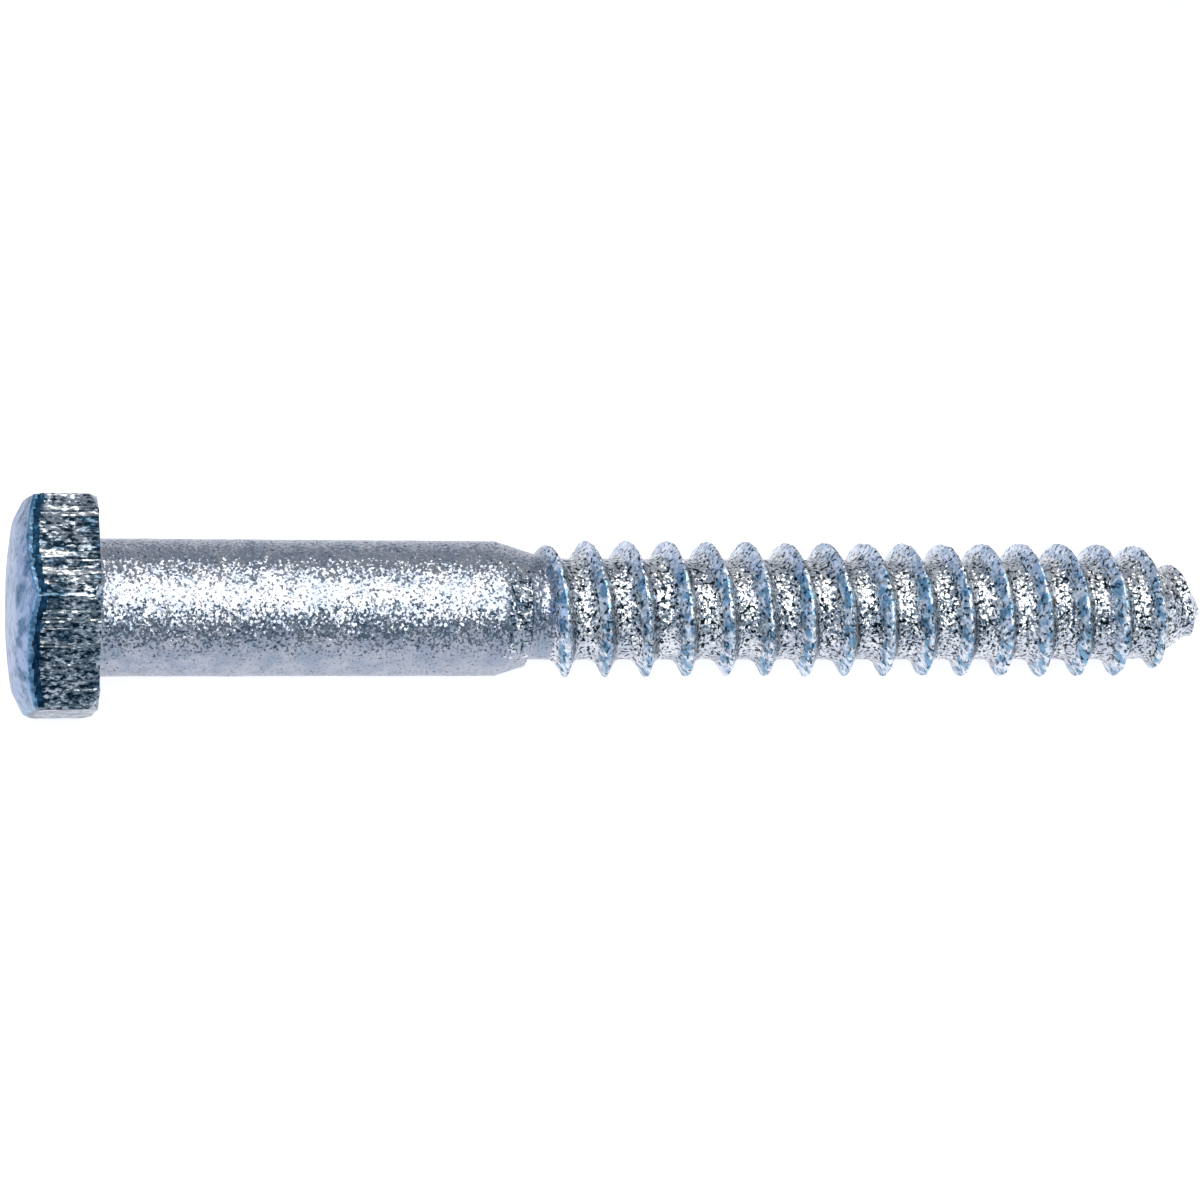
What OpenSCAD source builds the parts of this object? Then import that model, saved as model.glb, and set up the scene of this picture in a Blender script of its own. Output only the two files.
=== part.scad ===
// Hex lag screw, 3/4 in x 6 in, with a coarse right-hand wood thread and a gimlet point.
// One forged and rolled piece. It lies at rest on one flat of its head and one thread crest.
// The origin is the centre of the face under the head. The shank runs along +X, and +Z is up.

/* [Head] */
// Width across the flats of the hexagon
head_af = 28.3; // [24:0.1:34]
// Height from the face under the head to the top of its crown
head_height = 11.7; // [9:0.1:16]
// Radius of the shallow crown on top of the head
crown_radius = 75; // [40:1:200]
// Distance from the axis to where the crown starts to round over
crown_reach = 10; // [6:0.1:10.5]
// Radius of the round between the crown and the chamfer
crown_round = 7; // [3:0.1:8]
// Slope of the chamfer that takes off the corners of the hexagon
chamfer_angle = 35; // [20:1:40]
// How far the flat face under the head reaches past the hexagon's flats
seat_margin = 1; // [0.3:0.1:1.2]
// Slope of the small bevel on the corners beside that face
seat_bevel_angle = 25; // [15:1:45]

/* [Shank] */
// Diameter of the plain shank
shank_d = 18.4; // [17:0.1:20]
// Length of the plain shank under the head
shank_length = 53.5; // [20:0.5:70]
// Radius of the fillet between head and shank
neck_fillet = 0.8; // [0.3:0.1:1.5]
// Half angle of the cone that runs down from the shank to the thread's root
rundown_angle = 17.3; // [12:0.1:30]

/* [Thread] */
// Length of the whole screw under its head
screw_length = 155; // [120:1:240]
// Threads per inch
threads_per_inch = 4.5; // [4:0.5:6]
// Diameter over the thread's crests
thread_d = 18.8; // [17:0.1:20]
// Diameter of the root between the ridges
root_d = 13.9; // [12:0.1:15]
// Width of the flat along a crest
crest_width = 0.5; // [0.3:0.05:0.9]
// Slope of each side of the ridge, from a plane across the axis
flank_angle = 26; // [24:1:32]
// Height of the fillet at the foot of the ridge
root_fillet = 0.36; // [0.2:0.02:0.6]
// Turns over which the ridge rises to full height
run_in_turns = 0.53; // [0.3:0.01:1]

/* [Point] */
// Length of the gimlet point
point_length = 11; // [8:0.5:16]
// Fullness of the point's outline: 1 is a straight cone, 2 rounds in like a bullet
point_fullness = 2; // [1.2:0.1:2.4]
// Sharpness of the tip: 1 runs in to a sharp tip, and less leaves a blunt nose
tip_sharpness = 0.72; // [0.6:0.02:1]
// Width that the ridge keeps where it dies out on the point, as a share of its full width
ridge_tail = 0.35; // [0.25:0.05:0.6]

/* [Mesh] */
// Flat steps in one turn of the thread
thread_steps = 32; // [24:4:36]

/* [Hidden] */
$fn = 96;

pitch = 25.4 / threads_per_inch;
shank_r = shank_d / 2;
crest_r = thread_d / 2;
root_r = root_d / 2;
thread_depth = crest_r - root_r;
corner_r = head_af / 2 / cos(30);
seat_r = head_af / 2 + seat_margin;
overlap = 1; // how deep one sub-part reaches into the next, so that they fuse

rundown_length = (shank_r - root_r) / tan(rundown_angle);
root_start = shank_length + rundown_length;
point_start = screw_length - point_length;

// The ridge's centre line starts where it faces the floor, part of the way down the cone.
thread_start = root_start - 0.4 * pitch;

// The ridge's section, from its foot on the head's side to the other foot, as
// [distance along the screw from its centre line, share of the thread's depth].
crest_half = crest_width / 2;
fillet_half = crest_half + (thread_depth - root_fillet) * tan(flank_angle);
foot_half = fillet_half + root_fillet * tan((90 + flank_angle) / 2) / 2;
ridge_section = [
    [-foot_half, 0], [-fillet_half, root_fillet / thread_depth], [-crest_half, 1],
    [crest_half, 1], [fillet_half, root_fillet / thread_depth], [foot_half, 0]
];
turn_points = len(ridge_section) + 1; // the last one lies midway between two ridges

// The screw rests on the edge under one flat of the head and on the last full crest that faces down.
last_crest = thread_start + pitch * floor((point_start - thread_start) / pitch) + crest_half;
rest_tilt = atan((head_af / 2 - crest_r) / last_crest);

// ---- Head ----

// Points along an arc about a centre, from one angle to another
function arc(centre, r, from, to, steps) = [
    for (i = [0 : steps])
        let (a = from + (to - from) * i / steps) centre + r * [cos(a), sin(a)]
];

// Outline of the turned form that trims the hexagon: crown, round-over, chamfer and bevel.
// It is drawn with the distance from the axis across and the height over the seat upwards.
module head_outline() {
    crown_slope = asin(crown_reach / crown_radius);
    crown_centre = [0, head_height - crown_radius];
    round_centre = crown_centre + (crown_radius - crown_round) * [sin(crown_slope), cos(crown_slope)];
    chamfer_top = round_centre + crown_round * [sin(chamfer_angle), cos(chamfer_angle)];
    outside = corner_r + overlap;
    polygon(concat(
        [[0, 0], [seat_r, 0]],
        [[outside, (outside - seat_r) * tan(seat_bevel_angle)]],
        [[outside, chamfer_top.y - (outside - chamfer_top.x) * tan(chamfer_angle)]],
        arc(round_centre, crown_round, 90 - chamfer_angle, 90 - crown_slope, 6),
        arc(crown_centre, crown_radius, 90 - crown_slope * 0.75, 90, 3)
    ));
}

// The hexagon stands above the seat, on the far side from the shank, with two flats level.
module head() {
    rotate([180, 0, 0])
        intersection() {
            rotate(30) cylinder(r = corner_r, h = head_height + overlap, $fn = 6);
            rotate_extrude() head_outline();
        }
}

// ---- Shank ----

// The neck fillet, the plain cylinder and the cone that ends inside the threaded core
module shank() {
    fillet_centre = [shank_r + neck_fillet, neck_fillet];
    cone_end = root_start + overlap;
    rotate_extrude()
        polygon(concat(
            [[0, -overlap], [shank_r + neck_fillet, -overlap]],
            arc(fillet_centre, neck_fillet, 270, 180, 5),
            [[shank_r, shank_length], [root_r - overlap * tan(rundown_angle), cone_end], [0, cone_end]]
        ));
}

// ---- Thread ----

// How far along the point a place under the head is, from 0 at its start to 1 at its tip
function point_share(z) = max(0, min(1, (z - point_start) / point_length));

// Radius of the core: straight, then rounding in to the tip
function core_r(z) = root_r * pow(1 - pow(point_share(z), point_fullness), tip_sharpness);

// Share of its full height that the ridge has where its centre line is at z
function ridge_share(z) =
    let (rise = max(0, min(1, (z - thread_start) / (run_in_turns * pitch))))
    rise * rise * (3 - 2 * rise) * sqrt(1 - point_share(z));

// Place of the ridge's centre line after a number of whole turns and j steps
function ridge_z(turn, j) = thread_start + pitch * (turn + j / thread_steps);

// Point k of a turn's section, which narrows with the ridge, as [place along the screw, radius]
function section_point(turn, k, j) =
    let (
        centre = ridge_z(turn, j),
        share = ridge_share(centre),
        width = ridge_tail + (1 - ridge_tail) * share,
        on_ridge = k < len(ridge_section),
        z = centre + (on_ridge ? ridge_section[k].x * width : pitch / 2)
    )
    [z, core_r(z) + (on_ridge ? thread_depth * share * ridge_section[k].y : 0)];

// The core and its ridge are one skin. Each column of points runs along the screw, one step of
// the helix further on than the column before it, so the first column follows the last one
// with a shift of a whole turn. Points past either end fall together on the axis.
module threaded_core() {
    base_z = root_start - pitch;
    first_turn = floor((base_z - thread_start) / pitch) - 1;
    turns = ceil((screw_length - thread_start) / pitch) + 2 - first_turn;
    rows = turn_points * turns;
    end_gap = 0.25; // no point of the skin is nearer than this to the ends
    base = rows * thread_steps;
    tip = base + 1;
    place = [
        for (j = [0 : thread_steps - 1]) for (i = [0 : rows - 1])
            section_point(first_turn + floor(i / turn_points), i % turn_points, j)
    ];
    function index(i, j) = j < thread_steps ? j * rows + i : i + turn_points;
    function vertex(i, j) =
        let (n = index(i, j), z = place[n][0])
        z < base_z + end_gap ? base : z > screw_length - end_gap ? tip : n;
    points = concat(
        [
            for (j = [0 : thread_steps - 1]) for (i = [0 : rows - 1])
                let (p = place[j * rows + i], a = 360 * j / thread_steps)
                    [p[1] * cos(a), p[1] * sin(a), p[0]]
        ],
        [[0, 0, base_z], [0, 0, screw_length]]
    );
    faces = [
        for (j = [0 : thread_steps - 1]) for (i = [0 : rows - turn_points - 2])
            let (
                a = vertex(i, j), b = vertex(i + 1, j),
                c = vertex(i + 1, j + 1), d = vertex(i, j + 1)
            )
            for (f = [[a, b, c], [a, c, d]])
                if (f[0] != f[1] && f[1] != f[2] && f[0] != f[2]) f
    ];
    polyhedron(points, faces, convexity = 10);
}

// ---- The whole screw ----

// The three forms are one solid. The axis turns from +Z to +X and tips down to the floor.
module lag_screw() {
    color("lightsteelblue")
        rotate([0, 90 + rest_tilt, 0])
            union() {
                head();
                shank();
                threaded_core();
            }
}

lag_screw();
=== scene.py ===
import math
import bpy
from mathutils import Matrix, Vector, noise


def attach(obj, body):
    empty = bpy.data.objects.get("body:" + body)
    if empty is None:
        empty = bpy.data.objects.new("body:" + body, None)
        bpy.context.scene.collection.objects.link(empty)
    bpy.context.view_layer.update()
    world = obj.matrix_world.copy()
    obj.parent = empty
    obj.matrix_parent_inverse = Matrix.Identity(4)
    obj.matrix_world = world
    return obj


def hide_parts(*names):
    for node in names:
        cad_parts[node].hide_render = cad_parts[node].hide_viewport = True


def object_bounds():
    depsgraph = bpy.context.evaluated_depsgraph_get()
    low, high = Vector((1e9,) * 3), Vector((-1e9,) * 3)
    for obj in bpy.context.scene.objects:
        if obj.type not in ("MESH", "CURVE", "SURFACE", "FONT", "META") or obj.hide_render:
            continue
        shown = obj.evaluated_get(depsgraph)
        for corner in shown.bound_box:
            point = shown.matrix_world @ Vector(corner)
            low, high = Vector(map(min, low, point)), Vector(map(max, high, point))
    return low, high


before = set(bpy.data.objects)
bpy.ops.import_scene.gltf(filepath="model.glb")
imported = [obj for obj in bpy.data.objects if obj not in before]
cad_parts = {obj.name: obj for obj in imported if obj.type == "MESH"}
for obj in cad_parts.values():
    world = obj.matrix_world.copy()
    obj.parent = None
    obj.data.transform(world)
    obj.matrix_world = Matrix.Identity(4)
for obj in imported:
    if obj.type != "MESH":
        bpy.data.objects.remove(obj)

cad_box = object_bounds()


# ---- Shank and thread ----
# The blank is one length of steel bar. Its lower part is rolled between flat dies into a
# coarse wood thread, which leaves a cone below the plain shank and a gimlet point at the end.
# It is modelled upright, with the face under the head at z = 0 and the point upwards.
MM = 0.001
PITCH = 25.4 * MM / 4.5  # four and a half threads to the inch
SHANK_R = 9.2 * MM
ROOT_R = 6.95 * MM
THREAD_DEPTH = 2.45 * MM
CONE_START = 53.5 * MM
CONE_SLOPE = math.tan(math.radians(17.3))
BITE = 57.4 * MM  # where the dies first bite
BITE_LENGTH, BITE_DEPTH = 0.3 * MM, 0.8 * MM  # of the step that they leave there
THREAD_START = 58.466 * MM
RUN_IN_TURNS = 0.53
POINT_START = 144 * MM
TIP = 155 * MM
NOSE_BLUNTNESS = 0.72  # 1 runs in to a sharp tip
RIDGE_TAIL = 0.35  # share of its width that the ridge keeps at the tip
LATTICE_TURNS = 20
LATTICE_STEPS = 96
SHANK_CUT = 51 * MM  # the lattice of the thread ends here, inside the plain shank


def start_profile(name, first):
    """Begin an outline in the XZ plane: a plane primitive closed up to one point."""
    bpy.ops.object.select_all(action="DESELECT")
    bpy.ops.mesh.primitive_plane_add(size=MM, location=(0, 0, 0))
    piece = bpy.context.object
    piece.name = piece.data.name = name
    bpy.ops.object.mode_set(mode="EDIT")
    bpy.ops.mesh.select_all(action="SELECT")
    bpy.ops.mesh.merge(type="CENTER")
    bpy.ops.transform.translate(value=(first[0], 0, first[1]))
    return piece


def draw_profile(points):
    """Extrude the end of the outline from point to point, each as (distance from the axis, height)."""
    for (r0, z0), (r1, z1) in zip(points, points[1:]):
        bpy.ops.mesh.extrude_region_move(TRANSFORM_OT_translate={"value": (r1 - r0, 0, z1 - z0)})


def finish_with(piece, kind, **settings):
    """Add a modifier and apply it."""
    modifier = piece.modifiers.new(kind.title(), kind)
    for key, value in settings.items():
        setattr(modifier, key, value)
    bpy.context.view_layer.objects.active = piece
    bpy.ops.object.modifier_apply(modifier=modifier.name)


# One pitch of the thread, from the middle of the root on the head's side over the crest to the
# middle of the root on the other side, as (mm from the ridge's centre line, mm above the root).
# The dies push the metal towards the head, so the foot spreads further on that side.
HEAD_FOOT, POINT_FOOT = 2.4 * MM, 2.0 * MM
ridge = [
    (-2.822, 0), (-2.6, 0), (-2.4, 0.01), (-2.18, 0.06), (-1.95, 0.15), (-1.72, 0.28), (-1.5, 0.46),
    (-1.3, 0.7), (-1.08, 1.04), (-0.82, 1.46), (-0.54, 1.93), (-0.34, 2.27), (-0.19, 2.42), (0, 2.45),
    (0.19, 2.42), (0.32, 2.27), (0.5, 1.93), (0.74, 1.44), (0.96, 0.98), (1.15, 0.62), (1.34, 0.34),
    (1.55, 0.15), (1.77, 0.04), (2.0, 0), (2.4, 0), (2.822, 0),
]
first_ridge = THREAD_START - 2 * PITCH
ridge_points = [(ROOT_R + h * MM, first_ridge + s * MM) for s, h in ridge]
# the ends lie half a pitch away to the last digit, so that each turn joins the next
ridge_points[0] = (ROOT_R, first_ridge - PITCH / 2)
ridge_points[-1] = (ROOT_R, first_ridge + PITCH / 2)

screw = start_profile("lag_screw_zinc", ridge_points[0])
draw_profile(ridge_points)
bpy.ops.object.mode_set(mode="OBJECT")
finish_with(
    screw, "SCREW", axis="Z", angle=math.tau, screw_offset=PITCH, iterations=LATTICE_TURNS,
    steps=LATTICE_STEPS, render_steps=LATTICE_STEPS)

# The lattice of the thread is cut off square in the plain shank and scored where the cone begins
# and on both sides of the dies' step, so that these rings come out true.
bpy.ops.object.mode_set(mode="EDIT")
bpy.ops.mesh.select_all(action="SELECT")
bpy.ops.mesh.remove_doubles(threshold=1e-6)
bpy.ops.mesh.bisect(plane_co=(0, 0, SHANK_CUT), plane_no=(0, 0, 1), clear_inner=True, threshold=1e-7)
for height in (CONE_START, BITE, BITE + BITE_LENGTH):
    bpy.ops.mesh.select_all(action="SELECT")
    bpy.ops.mesh.bisect(plane_co=(0, 0, height), plane_no=(0, 0, 1), threshold=1e-7)
bpy.ops.object.mode_set(mode="OBJECT")


def ease(x):
    """Smooth step from 0 to 1."""
    x = max(0.0, min(1.0, x))
    return x * x * (3 - 2 * x)


def along_point(z):
    """Share of the point that lies before this height."""
    return max(0.0, min(1.0, (z - POINT_START) / (TIP - POINT_START)))


def core(z):
    """Radius of the core, which closes in a blunt nose at the tip."""
    return ROOT_R * (1 - along_point(z) ** 2) ** NOSE_BLUNTNESS


def cone(z, turn):
    """Radius of the cone, which ends in a step on one side where the dies bite."""
    bite = BITE_DEPTH * (0.5 - 0.5 * math.cos(math.tau * (turn - 0.35)))
    return SHANK_R - (z - CONE_START) * CONE_SLOPE - bite * ease((z - BITE) / BITE_LENGTH)


# Each point of the even thread moves to its place on the rolled one, whose crests wander a
# little, are ragged and are not all filled to the top.
WANDER = 0.16 * MM  # of the crest, along the screw
RAGGED = 0.14 * MM  # of crest and sides, along the screw
UNFILLED = 0.22 * MM  # how far long stretches of the crest fall short of full height
CHIPPED = 0.3 * MM  # how far short stretches do
WORN = 0.2 * MM  # how far single spots do
SOFT_LINE = 0.12 * MM  # width of the hollow line between thread and cone
NICK_DEPTH, NICK_PLACE, NICK_LENGTH = 0.3 * MM, 56.3 * MM, 0.35 * MM
NICK_TURN, NICK_WIDTH = 0.85, 1 / 70  # in turns
TIP_GAP = 0.12 * MM  # what comes nearer to the tip than this closes in it
for vertex in screw.data.vertices:
    x, y, z = vertex.co
    turn = math.atan2(y, x) / math.tau % 1.0
    rolls = round((z - THREAD_START) / PITCH - turn) + turn  # turns since the ridge began
    share = (math.hypot(x, y) - ROOT_R) / THREAD_DEPTH  # of the height from root to crest
    centre = THREAD_START + PITCH * rolls
    left = math.sqrt(1 - along_point(centre))  # what the point leaves of the ridge
    grown = ease(rolls / RUN_IN_TURNS) * left
    width = RIDGE_TAIL + (1 - RIDGE_TAIL) * left
    offset = z - centre
    foot = HEAD_FOOT if offset < 0 else POINT_FOOT
    if abs(offset) < foot:
        offset *= width
    else:
        rest = (abs(offset) - foot) / (PITCH / 2 - foot)
        offset = math.copysign(foot * width + rest * (PITCH / 2 - foot * width), offset)
    wander = WANDER * noise.noise(Vector((rolls * 1.3, 0.5, 2.0)))
    rough = noise.noise(vertex.co / (1.5 * MM)) + 0.5 * noise.noise(vertex.co / (0.7 * MM))
    short = UNFILLED * max(0.0, noise.noise(Vector((rolls * 2.1, 7.5, 1.0))))
    short += CHIPPED * max(0.0, noise.noise(Vector((rolls * 15, 3.5, 4.0))) - 0.1)
    short += WORN * max(0.0, -rough)
    z = centre + offset + (wander + RAGGED * rough) * grown * share
    r = SHANK_R
    if z > CONE_START:
        # whichever stands higher, thread or cone
        thread = core(z) + (THREAD_DEPTH - short) * grown * share
        taper = cone(z, turn)
        r = (thread + taper + math.hypot(thread - taper, SOFT_LINE)) / 2
    # a rough nick, where the cone was caught on its lower side
    from_nick = math.hypot((z - NICK_PLACE) / NICK_LENGTH, (turn - NICK_TURN) / NICK_WIDTH)
    r -= NICK_DEPTH * math.exp(-from_nick ** 2)
    if z > TIP - TIP_GAP:
        r, z = 0.0, TIP
    angle = math.tau * turn
    vertex.co = (r * math.cos(angle), r * math.sin(angle), z)

# The plain shank is drawn down from the cut edge ring by ring, then flared into the neck fillet
# and taken a little way into the head, where it is closed.
NECK_FILLET = 0.8 * MM
SHANK_RINGS = 33
NECK_RINGS = 5
OVERLAP = MM
bpy.ops.object.mode_set(mode="EDIT")
bpy.ops.mesh.select_all(action="SELECT")
bpy.ops.mesh.remove_doubles(threshold=2e-6)
bpy.ops.mesh.dissolve_degenerate(threshold=1e-6)
bpy.ops.mesh.select_all(action="DESELECT")
bpy.ops.object.mode_set(mode="OBJECT")
for vertex in screw.data.vertices:
    vertex.select = vertex.co.z < SHANK_CUT + 0.001 * MM
for edge in screw.data.edges:
    edge.select = all(screw.data.vertices[i].select for i in edge.vertices)
bpy.ops.object.mode_set(mode="EDIT")
for ring in range(SHANK_RINGS):
    drop = (SHANK_CUT - NECK_FILLET) / SHANK_RINGS
    bpy.ops.mesh.extrude_region_move(TRANSFORM_OT_translate={"value": (0, 0, -drop)})
radius, level = SHANK_R, NECK_FILLET
for ring in range(1, NECK_RINGS + 1):
    angle = math.radians(90 * ring / NECK_RINGS)
    next_radius = SHANK_R + NECK_FILLET * (1 - math.cos(angle))
    next_level = NECK_FILLET * (1 - math.sin(angle))
    bpy.ops.mesh.extrude_region_move(TRANSFORM_OT_translate={"value": (0, 0, next_level - level)})
    grow = next_radius / radius
    bpy.ops.transform.resize(value=(grow, grow, 1), center_override=(0, 0, 0))
    radius, level = next_radius, next_level
bpy.ops.mesh.extrude_region_move(TRANSFORM_OT_translate={"value": (0, 0, -OVERLAP)})
bpy.ops.mesh.edge_face_add()
bpy.ops.mesh.select_all(action="SELECT")
bpy.ops.mesh.normals_make_consistent(inside=False)
bpy.ops.object.mode_set(mode="OBJECT")


# ---- Head ----
# The end of the bar is upset hot into a round button with a shallow crown, and a die then trims
# it to a hexagon, so the six flats are planes sheared through a turned shape.
ACROSS_FLATS = 28.3 * MM
HEAD_HEIGHT = 11.7 * MM
CROWN_RADIUS = 75 * MM
CROWN_REACH = 10.9 * MM  # from the axis to where the crown rounds over into the chamfer
CROWN_ROUND = 3 * MM
CHAMFER = 25.9
CHAMFER_SLOPE = math.tan(math.radians(CHAMFER))
SEAT_R = ACROSS_FLATS / 2 / math.cos(math.radians(20))
SEAT_BEVEL_SLOPE = math.tan(math.radians(42))
OUTSIDE = ACROSS_FLATS / 2 / math.cos(math.radians(30)) + MM  # beyond the hexagon's corners
EDGE_ROUND = 0.25 * MM
HEAD_STEPS = 144


def arc_points(centre, radius, start, end, steps):
    """Points of an arc, between two angles in degrees."""
    return [
        (centre[0] + radius * math.cos(math.radians(start + (end - start) * i / steps)),
         centre[1] + radius * math.sin(math.radians(start + (end - start) * i / steps)))
        for i in range(steps + 1)
    ]


crown_slope = math.degrees(math.asin(CROWN_REACH / CROWN_RADIUS))
crown_centre = (0.0, HEAD_HEIGHT - CROWN_RADIUS)
inner = CROWN_RADIUS - CROWN_ROUND
round_centre = (inner * math.sin(math.radians(crown_slope)),
                crown_centre[1] + inner * math.cos(math.radians(crown_slope)))
chamfer_top = (round_centre[0] + CROWN_ROUND * math.sin(math.radians(CHAMFER)),
               round_centre[1] + CROWN_ROUND * math.cos(math.radians(CHAMFER)))


def chamfer_height(reach):
    """How high over the seat the chamfer stands at a distance from the axis."""
    return chamfer_top[1] - (reach - chamfer_top[0]) * CHAMFER_SLOPE


outline = [(reach * MM, 0.0) for reach in (0, 4, 8, 12)]
outline += [
    (SEAT_R, 0.0),
    (OUTSIDE, (OUTSIDE - SEAT_R) * SEAT_BEVEL_SLOPE),
    (OUTSIDE, chamfer_height(OUTSIDE)),
]
outline += arc_points(round_centre, CROWN_ROUND, 90 - CHAMFER, 90 - crown_slope, 8)
outline += arc_points(crown_centre, CROWN_RADIUS, 90 - crown_slope * 0.88, 90, 8)
outline = [(r, -z) for r, z in outline]  # the head stands below the seat

head = start_profile("forged_head", outline[0])
draw_profile(outline)
bpy.ops.mesh.select_all(action="SELECT")
bpy.ops.mesh.spin(steps=HEAD_STEPS, angle=math.tau, center=(0, 0, 0), axis=(0, 0, 1))
bpy.ops.mesh.select_all(action="SELECT")
bpy.ops.mesh.remove_doubles(threshold=2e-6)
bpy.ops.mesh.normals_make_consistent(inside=False)
# half a step round, so that no corner of the hexagon falls on a line of the turned form
bpy.ops.transform.rotate(value=math.tau / HEAD_STEPS / 2, orient_axis="Z", center_override=(0, 0, 0))
# one way out from each flat
ways = [
    Vector((math.cos(math.radians(60 * side)), math.sin(math.radians(60 * side)), 0))
    for side in range(6)
]
for way in ways:
    bpy.ops.mesh.select_all(action="SELECT")
    bpy.ops.mesh.bisect(
        plane_co=way * ACROSS_FLATS / 2, plane_no=way, use_fill=True, clear_outer=True, threshold=1e-7)
# slivers that the cuts leave are closed up
bpy.ops.mesh.select_all(action="SELECT")
bpy.ops.mesh.remove_doubles(threshold=2e-5)
bpy.ops.mesh.dissolve_degenerate(threshold=2e-5)
# The edges that the die leaves are rounded. The shallow crease round the seat isn't one of them.
bpy.ops.mesh.select_all(action="DESELECT")
bpy.ops.mesh.edges_select_sharp(sharpness=math.radians(45))
bpy.ops.mesh.bevel(offset=EDGE_ROUND, segments=3, profile=0.5, loop_slide=False)
bpy.ops.mesh.select_mode(type="VERT")
bpy.ops.object.mode_set(mode="OBJECT")
# nothing that the rounding moved stands out from the flats or the seat
for vertex in head.data.vertices:
    for way in ways:
        vertex.co -= way * max(0.0, vertex.co.dot(way) - ACROSS_FLATS / 2)
    vertex.co.z = min(vertex.co.z, 0.0)

# The flats are scored into a grid, so that they can be as uneven as a trimmed face is. It is
# finest near the crown, where they roll over.
down = Vector((0, 0, -1))
for way in ways:
    across = Vector((-way.y, way.x, 0))
    cuts = [(across * i * 0.8 * MM, across) for i in range(-9, 10)]
    cuts += [(down * i * 1.2 * MM, -down) for i in range(1, 6)]
    cuts += [(down * (6.3 + i * 0.16) * MM, -down) for i in range(20)]
    for place, direction in cuts:
        bpy.ops.object.mode_set(mode="OBJECT")
        for part in (*head.data.edges, *head.data.vertices):
            part.select = False
        for face in head.data.polygons:
            face.select = face.normal.dot(way) > 0.9995
            if face.select:
                for i in face.vertices:
                    head.data.vertices[i].select = True
        bpy.ops.object.mode_set(mode="EDIT")
        bpy.ops.mesh.select_mode(type="FACE")
        bpy.ops.mesh.bisect(plane_co=place, plane_no=direction, threshold=1e-7)
bpy.ops.mesh.select_mode(type="VERT")
bpy.ops.object.mode_set(mode="OBJECT")


def below_edge(place):
    """How far a point of the upright head lies below the edge between chamfer and flats."""
    return chamfer_height(place.xy.length) + place.z


# The die drags the crown's edge over before it bites, so the flats roll in towards the crown.
ROLL_OVER = 1.6 * MM
ROLL_DEPTH = 0.16 * MM
ROLL_FROM = 11 * MM  # distance from the axis at which the chamfer begins to roll in, too
for vertex in head.data.vertices:
    reach = vertex.co.xy.length
    if vertex.co.z < -6 * MM and reach > ROLL_FROM:
        depth = max(0.0, min(1.0, below_edge(vertex.co) / ROLL_OVER))
        roll = ROLL_DEPTH * (1 - depth) ** 2 * ease((reach - ROLL_FROM) / (2.5 * MM))
        vertex.co.x *= 1 - roll / reach
        vertex.co.y *= 1 - roll / reach

# Head and shank are one forging. The zinc bath leaves lumps and runs on all of it, a few
# hundredths of a millimetre deep.
finish_with(screw, "BOOLEAN", operation="UNION", solver="EXACT", object=head)
bpy.data.objects.remove(head)
for name, size, depth in (("zinc_runs", 4.5, 0.09), ("zinc_lumps", 1.3, 0.06)):
    clouds = bpy.data.textures.new(name, "CLOUDS")
    clouds.noise_scale = size * MM
    clouds.noise_depth = 2
    finish_with(
        screw, "DISPLACE", texture=clouds, texture_coords="LOCAL", strength=depth * MM, mid_level=1.0)


# ---- Hot-dip zinc on rolled steel ----
# The screw is pickled, dipped in molten zinc and spun. The zinc freezes in grains a few tenths of
# a millimetre wide. Each is a small facet with its own tilt, so the skin glitters: beside a grain
# that catches the light lies one that does not.
REST_TILT = math.radians(1.8974)  # the screw rests on one flat of its head and one crest


def colour(code):
    """Linear colour of an sRGB hex value."""
    parts = [int(code[i:i + 2], 16) / 255 for i in (0, 2, 4)]
    return (*[c / 12.92 if c <= 0.04045 else ((c + 0.055) / 1.055) ** 2.4 for c in parts], 1.0)


def add(material, kind, inputs=(), **settings):
    """Add a node, set its options, and link or set its inputs."""
    tree = material.node_tree
    new = tree.nodes.new("ShaderNode" + kind)
    for key, value in settings.items():
        setattr(new, key, value)
    for socket, value in dict(inputs).items():
        if isinstance(value, bpy.types.NodeSocket):
            tree.links.new(value, new.inputs[socket])
        else:
            new.inputs[socket].default_value = value
    return new


def per_mm(size):
    """Scale of a pattern whose features are this many millimetres wide."""
    return 1000.0 / size


def new_material(name):
    """A material with no nodes yet."""
    material = bpy.data.materials.new(name)
    material.use_nodes = True
    material.node_tree.nodes.clear()
    return material


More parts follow.
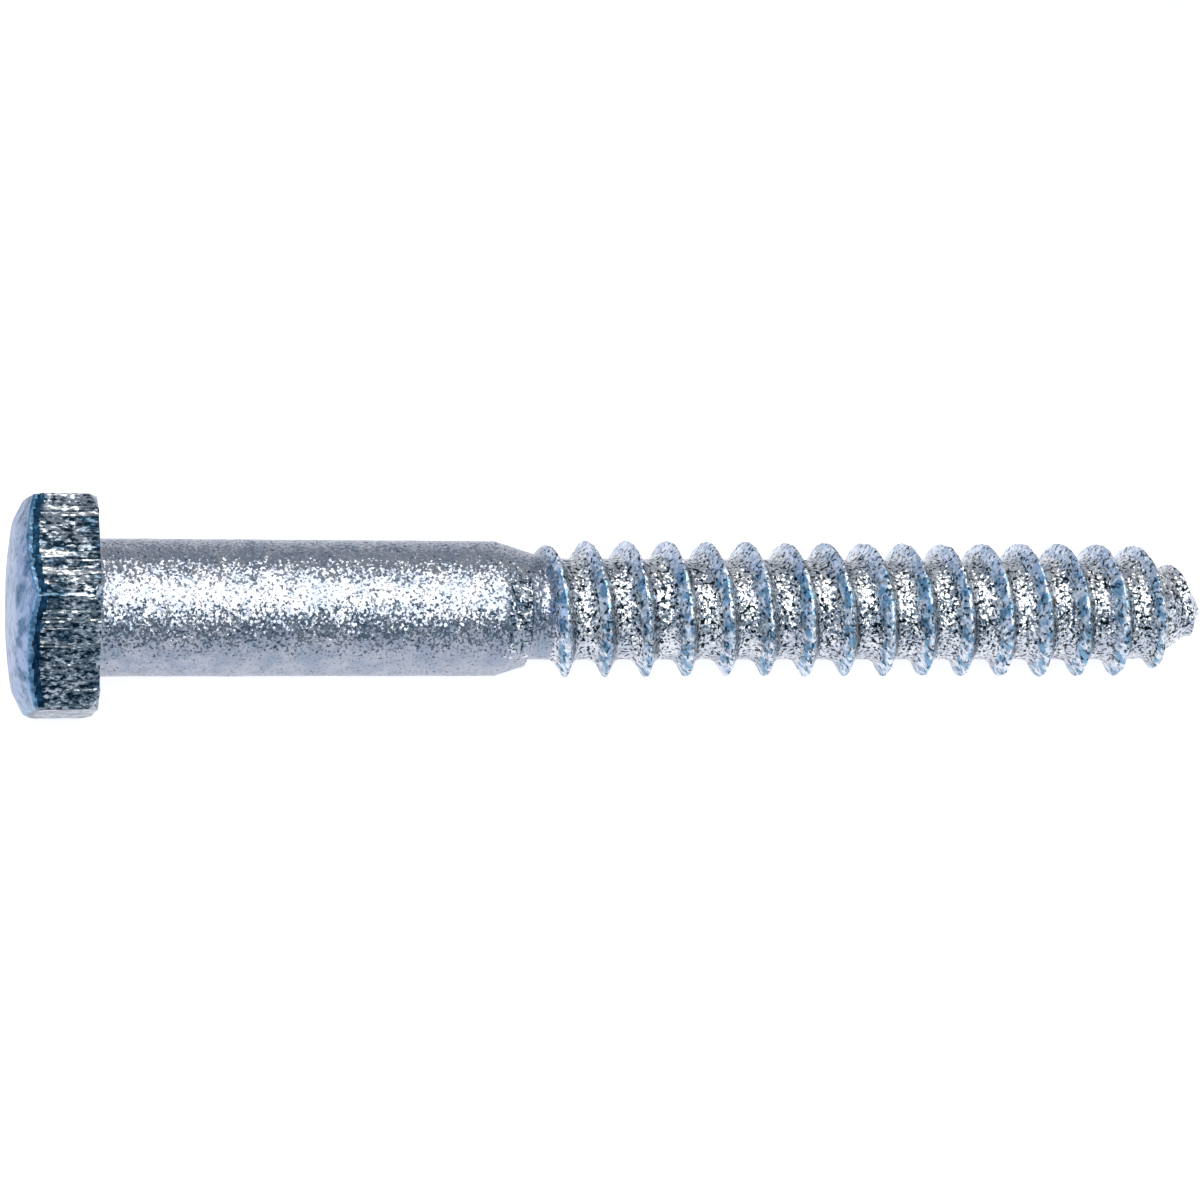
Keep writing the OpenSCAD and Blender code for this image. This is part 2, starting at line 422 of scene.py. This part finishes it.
# One zinc skin, as it froze on eight kinds of surface. Each has its grain's width in mm, how much
# finer it is across than along the screw, how far the facets lean, the range of its roughness,
# the clean and the stained colour with the stains' width in mm and the noise levels between
# which they come in, the colour of the pits with the noise levels between which they fade out,
# and how strong the bright scores along the screw are.
# Four of these carry painted light or shade: the ridge tops, the flanks, the rolled-over edge and the
# crown's edge.
finishes = {
    # the drawn bar is smooth, so its grains are small, flat and evenly grey
    "hot_dip_zinc_on_drawn_bar": dict(
        grain=0.3, along=1.0, lean=1.2, rough=(0.2, 0.32),
        clean="A2A6B0", stained="8E97A6", stain=3, stain_in=(0.42, 0.58),
        pit="2E4450", pit_out=(0.3, 0.39), scored=0),
    # the dies leave the root torn and wrinkled, and the zinc over it lumpy
    "hot_dip_zinc_on_rolled_root": dict(
        grain=0.31, along=1.0, lean=1.55, rough=(0.16, 0.3),
        clean="D8DADD", stained="B4BAC4", stain=3, stain_in=(0.4, 0.6),
        pit="0E1F28", pit_out=(0.42, 0.465), scored=0),
    # the ridges on the upper side are painted paler than the flanks, which is painted light, and they have
    # dark specks
    "hot_dip_zinc_on_ridge_tops": dict(
        grain=0.34, along=1.0, lean=1.1, rough=(0.3, 0.45),
        clean="DCE2EC", stained="B4C2D4", stain=2, stain_in=(0.45, 0.62),
        pit="2E4350", pit_out=(0.39, 0.45), scored=0),
    # zinc drains off the steep flanks and leaves them smooth and satin; their blue stains are painted
    # shade, the blue of the shaded flanks
    "hot_dip_zinc_on_thread_flanks": dict(
        grain=0.4, along=1.0, lean=1.2, rough=(0.3, 0.45),
        clean="DAE1EA", stained="7BA0BA", stain=1.5, stain_in=(0.44, 0.56),
        pit="27414F", pit_out=(0.38, 0.45), scored=0),
    # the trimming die drags along the flats, which are scored, scaly and dark with bright ridges
    "hot_dip_zinc_on_sheared_flats": dict(
        grain=0.3, along=0.55, lean=0.85, rough=(0.18, 0.3),
        clean="A9B2BC", stained="4F6578", stain=4, stain_in=(0.45, 0.6),
        pit="142E3E", pit_out=(0.42, 0.54), scored=0.5),
    # the band where the die rolled the edge over is painted navy, a painted dark reflection of the rounded
    # edge
    "hot_dip_zinc_on_rolled_over_edge": dict(
        grain=0.4, along=1.0, lean=0.5, rough=(0.25, 0.35),
        clean="2B5270", stained="15354F", stain=2, stain_in=(0.4, 0.6),
        pit="0C1E2C", pit_out=(0.3, 0.42), scored=0),
    # the edge itself is painted light blue, a painted highlight along the rounded edge
    "hot_dip_zinc_on_crown_edge": dict(
        grain=0.4, along=1.0, lean=0.5, rough=(0.3, 0.4),
        clean="7FA2C0", stained="4C7898", stain=2, stain_in=(0.45, 0.6),
        pit="2B4C66", pit_out=(0.3, 0.4), scored=0),
    # the crown drains last, so its zinc is even, with blue-grey stains from the quench
    "hot_dip_zinc_on_forged_crown": dict(
        grain=0.5, along=1.0, lean=0.45, rough=(0.3, 0.4),
        clean="8B9BB6", stained="4C6A86", stain=2.2, stain_in=(0.46, 0.62),
        pit="3A5668", pit_out=(0.3, 0.38), scored=0),
}
skins = []
for name, finish in finishes.items():
    skin = new_material(name)
    where = add(skin, "TexCoord")
    # the pattern lies along the screw, which lies at a tilt
    lie = add(skin, "Mapping", {"Vector": where.outputs["Object"], "Rotation": (0, -REST_TILT, 0)})
    drawn = add(skin, "VectorMath", {
        0: lie.outputs[0], 1: (finish["along"], 1, 1)}, operation="MULTIPLY")
    grains = add(skin, "TexVoronoi", {"Vector": drawn.outputs[0], "Scale": per_mm(finish["grain"])})
    seeds = add(skin, "TexNoise", {
        "Vector": drawn.outputs[0], "Scale": per_mm(finish["grain"] * 1.3),
        "Detail": 2.0, "Roughness": 0.6})
    # every grain leans its own way, by the random colour of its cell
    both = add(skin, "Mix", {
        "Factor": 0.55, "A": grains.outputs["Color"], "B": seeds.outputs["Color"]}, data_type="RGBA")
    middle = add(skin, "VectorMath", {0: both.outputs["Result"], 1: (0.5, 0.5, 0.5)}, operation="SUBTRACT")
    leaning = add(skin, "VectorMath", {
        0: middle.outputs[0], "Scale": finish["lean"]}, operation="SCALE")
    # scores are long, narrow and bright, and lean to the light above
    stretched = add(skin, "VectorMath", {0: lie.outputs[0], 1: (0.06, 1, 1)}, operation="MULTIPLY")
    lines = add(skin, "TexNoise", {"Vector": stretched.outputs[0], "Scale": per_mm(0.8), "Detail": 1.0})
    scores = add(skin, "MapRange", {
        "Value": lines.outputs[0], "From Min": 0.6, "From Max": 0.68, "To Max": finish["scored"]})
    raised = add(skin, "VectorMath", {0: (0, -0.2, 0.8), "Scale": scores.outputs[0]}, operation="SCALE")
    uneven = add(skin, "VectorMath", {0: leaning.outputs[0], 1: raised.outputs[0]}, operation="ADD")
    facing = add(skin, "NewGeometry")
    turned = add(skin, "VectorMath", {0: facing.outputs["Normal"], 1: uneven.outputs[0]}, operation="ADD")
    facet = add(skin, "VectorMath", {0: turned.outputs[0]}, operation="NORMALIZE")
    # stains lie over many grains, and pits are small and dark
    patches = add(skin, "TexNoise", {
        "Vector": lie.outputs[0], "Scale": per_mm(finish["stain"]), "Detail": 4.0})
    stain_mask = add(skin, "MapRange", {
        "Value": patches.outputs[0],
        "From Min": finish["stain_in"][0], "From Max": finish["stain_in"][1]})
    tone = add(skin, "Mix", {
        "Factor": stain_mask.outputs[0],
        "A": colour(finish["clean"]), "B": colour(finish["stained"])}, data_type="RGBA")
    specks = add(skin, "TexNoise", {
        "Vector": drawn.outputs[0], "Scale": per_mm(finish["grain"] * 1.6),
        "Detail": 2.0, "Roughness": 0.6})
    pit_mask = add(skin, "MapRange", {
        "Value": specks.outputs[0],
        "From Min": finish["pit_out"][0], "From Max": finish["pit_out"][1]})
    pitted = add(skin, "Mix", {
        "Factor": pit_mask.outputs[0],
        "A": colour(finish["pit"]), "B": tone.outputs["Result"]}, data_type="RGBA")
    base = add(skin, "Mix", {
        "Factor": scores.outputs[0],
        "A": pitted.outputs["Result"], "B": colour("E4E6E8")}, data_type="RGBA")
    spread = add(skin, "MapRange", {
        "Value": seeds.outputs[0], "From Min": 0.3, "From Max": 0.7,
        "To Min": finish["rough"][0], "To Max": finish["rough"][1]})
    surface = add(skin, "BsdfPrincipled", {
        "Base Color": base.outputs["Result"], "Metallic": 1.0, "Roughness": spread.outputs[0],
        "Normal": facet.outputs[0]})
    add(skin, "OutputMaterial", {"Surface": surface.outputs[0]})
    skins.append(skin)
BAR, ROOT, TOP, FLANK, FLAT, DRAGGED, EDGE, CROWN = range(8)
CROWN_RIM = 13.3 * MM
# the band along the crown's edge that is painted with a highlight is this wide
EDGE_WIDTH = 0.75 * MM
RIDGE_END = 148 * MM  # from here on the ridge is too low to have flanks of its own


def head_finish(place, lean, ragged):
    """Which surface a face of the head belongs to, by how far it lies from the crown's edge."""
    if place.z >= -5 * MM:
        return FLAT
    if place.xy.length < CROWN_RIM or lean < -0.88:
        return CROWN
    # below the crown's edge come a band painted with a highlight and then a band painted with a dark
    # reflection
    depth = below_edge(place) + 0.3 * MM * ragged
    if depth < EDGE_WIDTH:
        return EDGE
    return DRAGGED if depth < ROLL_OVER else FLAT


def thread_finish(place, lean, ragged):
    """Which surface a face of the thread belongs to, by its height and which way it leans."""
    reach = place.xy.length
    on_crest = reach > SHANK_R - 0.05 * MM and lean < 0.3 + ragged
    on_head_side = reach > ROOT_R + 0.8 * MM and lean < -0.55
    on_point_side = reach > ROOT_R + MM and lean > 0.6 and ragged > 0.05
    if place.z > RIDGE_END or not (on_crest or on_head_side or on_point_side):
        return ROOT
    # faces on the upper, far side of the screw as it lies get a paler copy of the flank finish, which is
    # painted light
    on_top = 0.8 * place.y - 0.6 * place.x > 0.62 * reach
    return TOP if on_top and not on_point_side else FLANK


def finish_of(face):
    """Which of the eight surfaces a face of the upright screw belongs to."""
    place, lean = face.center, face.normal.z
    reach = place.xy.length
    ragged = noise.noise(place / (0.8 * MM))
    if place.z < -0.2 * MM:
        return head_finish(place, lean, ragged)
    # the side of the cone that lies uppermost, towards the camera, is painted with a darker, mottled
    # finish, mostly that of the flats: painted shade for the cone's dark reflection
    scuffed = -(0.8 * place.x + 0.6 * place.y) / reach > 0.8 + 0.5 * ragged
    if scuffed and CONE_START + (0.7 + 0.9 * ragged) * MM < place.z < BITE:
        return FLAT if ragged > -0.25 else ROOT
    # before the first ridge the core is as smooth as the bar
    if place.z < BITE or place.z < 60.7 * MM and reach < 8.2 * MM:
        return BAR
    return thread_finish(place, lean, ragged)


bpy.ops.object.select_all(action="DESELECT")
screw.select_set(True)
bpy.context.view_layer.objects.active = screw
bpy.ops.object.shade_smooth_by_angle(angle=math.radians(32))
screw.data.materials.clear()
for skin in skins:
    screw.data.materials.append(skin)
for face in screw.data.polygons:
    face.material_index = finish_of(face)
screw.rotation_euler = (0, math.radians(90) + REST_TILT, 0)
bpy.ops.object.transform_apply(location=True, rotation=True, scale=True)
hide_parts("lag_screw")
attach(screw, "root")


# ---- Studio floor ----
# A light table, which is a sheet of white opal glass with a lamp under its middle. The screw lies
# on it, so the underside of the screw is lit and there is hardly a shadow.
opal = new_material("opal_glass_light_table")
place = add(opal, "TexCoord")
across = add(opal, "SeparateXYZ", {"Vector": place.outputs["Object"]})
off_lamp = add(opal, "Math", {0: across.outputs["Y"]}, operation="ABSOLUTE")
glow = add(opal, "MapRange", {
    "Value": off_lamp.outputs[0], "From Min": 0.005, "From Max": 0.06, "To Min": 0.9, "To Max": 0.55})
sheet = add(opal, "BsdfPrincipled", {
    "Base Color": colour("A0A4A8"), "Roughness": 0.9, "Specular IOR Level": 0.1,
    "Emission Color": colour("F8F7FF"), "Emission Strength": glow.outputs[0]})
add(opal, "OutputMaterial", {"Surface": sheet.outputs[0]})
bpy.ops.object.select_all(action="DESELECT")
bpy.ops.mesh.primitive_plane_add(size=6, location=(0.07, 0, cad_box[0][2]))
floor = bpy.context.object
floor.name = "studio_floor"
floor.data.materials.append(opal)


# ---- Studio light ----
# One large soft box nearly overhead and a pale panel at each end. The room behind is pale grey,
# the room in front a dull teal, and a blue wall stands at the head's end.
def soft_box(name, place, aim, size, radiance, tint):
    """Hang up a rectangular lamp of so much radiance, turned towards a point."""
    lamp = bpy.data.lights.new(name, "AREA")
    lamp.shape = "RECTANGLE"
    lamp.size, lamp.size_y = size
    lamp.energy = radiance * math.pi * size[0] * size[1]
    lamp.color = colour(tint)[:3]
    box = bpy.data.objects.new(name, lamp)
    bpy.context.scene.collection.objects.link(box)
    box.location = place
    box.rotation_euler = (Vector(aim) - Vector(place)).to_track_quat("-Z", "Y").to_euler()


soft_box("overhead_soft_box", (0.06, -0.126, 0.594), (0.06, 0, 0), (0.7, 0.88), 3.6, "FFF9F0")
soft_box("head_end_panel", (-0.6, -0.05, 0.15), (0, 0, 0), (0.6, 0.3), 0.9, "C8DCFF")
soft_box("point_end_panel", (0.85, -0.05, 0.2), (0.15, 0, 0), (0.6, 0.4), 1.4, "F4F8FF")

world = bpy.data.worlds.new("studio_room")
world.use_nodes = True
world.node_tree.nodes.clear()
bpy.context.scene.world = world
look = add(world, "TexCoord")
heading = add(world, "SeparateXYZ", {"Vector": look.outputs["Generated"]})
to_back = add(world, "MapRange", {"Value": heading.outputs["Y"], "From Min": -0.25, "From Max": 0.35})
walls = add(world, "Mix", {
    "Factor": to_back.outputs[0], "A": colour("6B8494"), "B": colour("BCC0C6")}, data_type="RGBA")
to_left = add(world, "MapRange", {"Value": heading.outputs["X"], "From Min": -0.4, "From Max": -0.8})
room = add(world, "Mix", {
    "Factor": to_left.outputs[0], "A": walls.outputs["Result"], "B": colour("7FA4CC")}, data_type="RGBA")
seen = add(world, "LightPath")
backdrop = add(world, "Mix", {
    "Factor": seen.outputs["Is Camera Ray"],
    "A": room.outputs["Result"], "B": colour("FFFFFF")}, data_type="RGBA")
air = add(world, "Background", {"Color": backdrop.outputs["Result"], "Strength": 1.0})
add(world, "OutputWorld", {"Surface": air.outputs[0]})
bpy.context.scene.view_settings.view_transform = "Standard"


# ---- Camera ----
# It looks down on the screw from in front of the head, turned a little towards the point, and
# stands close enough for the screw to fill the width.
view = bpy.data.cameras.new("camera")
view.lens = 104.28
view.sensor_width = 36
view.clip_start, view.clip_end = 0.01, 20
camera = bpy.data.objects.new("camera", view)
bpy.context.scene.collection.objects.link(camera)
camera.location = (-0.021116, -0.270902, 0.375142)
camera.rotation_euler = [math.radians(a) for a in (36.4274, -8.253, -7.1836)]
bpy.context.scene.camera = camera
